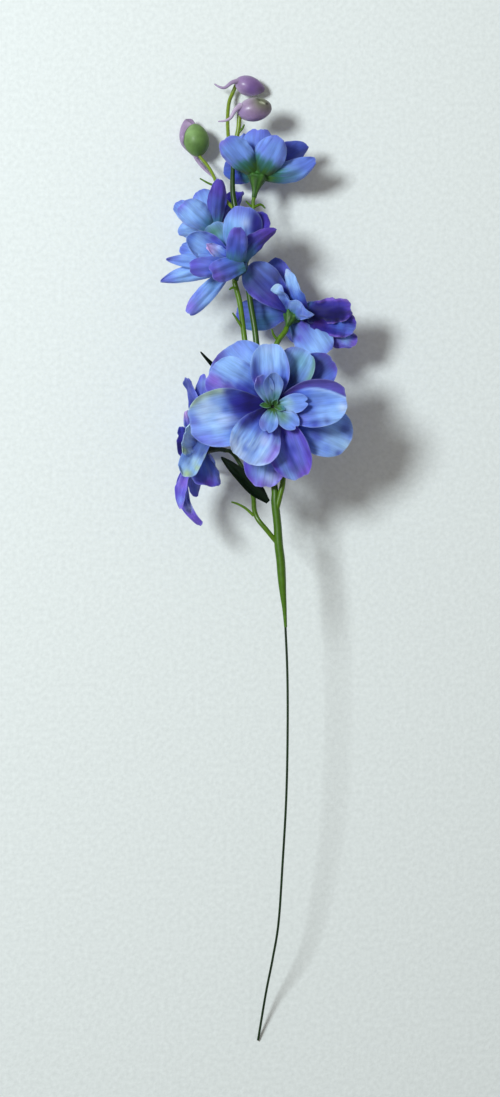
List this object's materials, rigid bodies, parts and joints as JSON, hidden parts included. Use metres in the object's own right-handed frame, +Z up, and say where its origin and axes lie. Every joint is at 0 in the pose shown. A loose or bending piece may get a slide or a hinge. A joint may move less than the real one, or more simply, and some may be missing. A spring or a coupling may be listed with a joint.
{
  "type": "artificial delphinium spray",
  "caption": "Artificial delphinium flower spike laid flat: open and half-open fabric blooms, hooded buds and dark leaves on a branching plastic stem over a bent wire.",
  "frame": {"origin": "middle of the bounding box's bottom face, on the surface that the spray lies on", "axes": "+Y along the stem from the bare wire to the buds, +Z up off the surface, +X to the right when seen from above with the buds away from the viewer"},
  "size_m": [0.1022, 0.5134, 0.0756],
  "materials": {
    "wire_lacquer": "dark green lacquered steel wire",
    "stem_plastic": "moulded green plastic, satin gloss",
    "leaf_lower_green": "nearly black green, satin",
    "leaf_upper_green": "nearly black green, satin",
    "bloom_1_petals_fabric": "stiffened fabric, cornflower blue shading to violet, pale sky and deep ultramarine",
    "bloom_1_heart_fabric": "stiffened fabric, pale blue-green with a green eye",
    "bloom_1_calyx_green": "moulded green plastic, satin gloss",
    "bloom_2_petals_fabric": "stiffened fabric, cornflower blue shading to violet, pale sky and deep ultramarine",
    "bloom_2_heart_fabric": "stiffened fabric, pale blue-green with a green eye",
    "bloom_2_calyx_green": "moulded green plastic, satin gloss",
    "bloom_3_petals_fabric": "stiffened fabric, cornflower blue shading to violet, pale sky and deep ultramarine",
    "bloom_3_heart_fabric": "stiffened fabric, pale blue-green with a green eye",
    "bloom_3_calyx_green": "moulded green plastic, satin gloss",
    "bloom_4_petals_fabric": "stiffened fabric, cornflower blue shading to violet, pale sky and deep ultramarine",
    "bloom_4_heart_fabric": "stiffened fabric, pale blue-green with a green eye",
    "bloom_4_calyx_green": "moulded green plastic, satin gloss",
    "bloom_5_petals_fabric": "stiffened fabric, cornflower blue shading to violet, pale sky and deep ultramarine",
    "bloom_5_heart_fabric": "stiffened fabric, pale blue-green with a green eye",
    "bloom_5_calyx_green": "moulded green plastic, satin gloss",
    "bloom_6_petals_fabric": "stiffened fabric, cornflower blue shading to violet, pale sky and deep ultramarine",
    "bloom_6_heart_fabric": "stiffened fabric, pale blue-green with a green eye",
    "bloom_6_calyx_green": "moulded green plastic, satin gloss",
    "bud_1_green": "moulded plastic, green, glossy",
    "bud_1_lilac": "moulded plastic, lilac, glossy",
    "bud_2_green": "moulded plastic, green, glossy",
    "bud_2_lilac": "moulded plastic, lilac, glossy",
    "bud_3_green": "moulded plastic, green, glossy",
    "bud_3_lilac": "moulded plastic, lilac, glossy"
  },
  "bodies": {
    "root": {"stem_wire": "wire_lacquer", "moulded_stem": "stem_plastic", "leaf_lower": "leaf_lower_green", "leaf_upper": "leaf_upper_green", "bloom_1_petals": "bloom_1_petals_fabric", "bloom_1_heart": "bloom_1_heart_fabric", "bloom_1_calyx": "bloom_1_calyx_green", "bloom_2_petals": "bloom_2_petals_fabric", "bloom_2_heart": "bloom_2_heart_fabric", "bloom_2_calyx": "bloom_2_calyx_green", "bloom_3_petals": "bloom_3_petals_fabric", "bloom_3_heart": "bloom_3_heart_fabric", "bloom_3_calyx": "bloom_3_calyx_green", "bloom_4_petals": "bloom_4_petals_fabric", "bloom_4_heart": "bloom_4_heart_fabric", "bloom_4_calyx": "bloom_4_calyx_green", "bloom_5_petals": "bloom_5_petals_fabric", "bloom_5_heart": "bloom_5_heart_fabric", "bloom_5_calyx": "bloom_5_calyx_green", "bloom_6_petals": "bloom_6_petals_fabric", "bloom_6_heart": "bloom_6_heart_fabric", "bloom_6_calyx": "bloom_6_calyx_green", "bud_1_body": "bud_1_green", "bud_1_hood": "bud_1_lilac", "bud_2_body": "bud_2_green", "bud_2_hood": "bud_2_lilac", "bud_3_body": "bud_3_green", "bud_3_hood": "bud_3_lilac"}
  },
  "joints": []
}
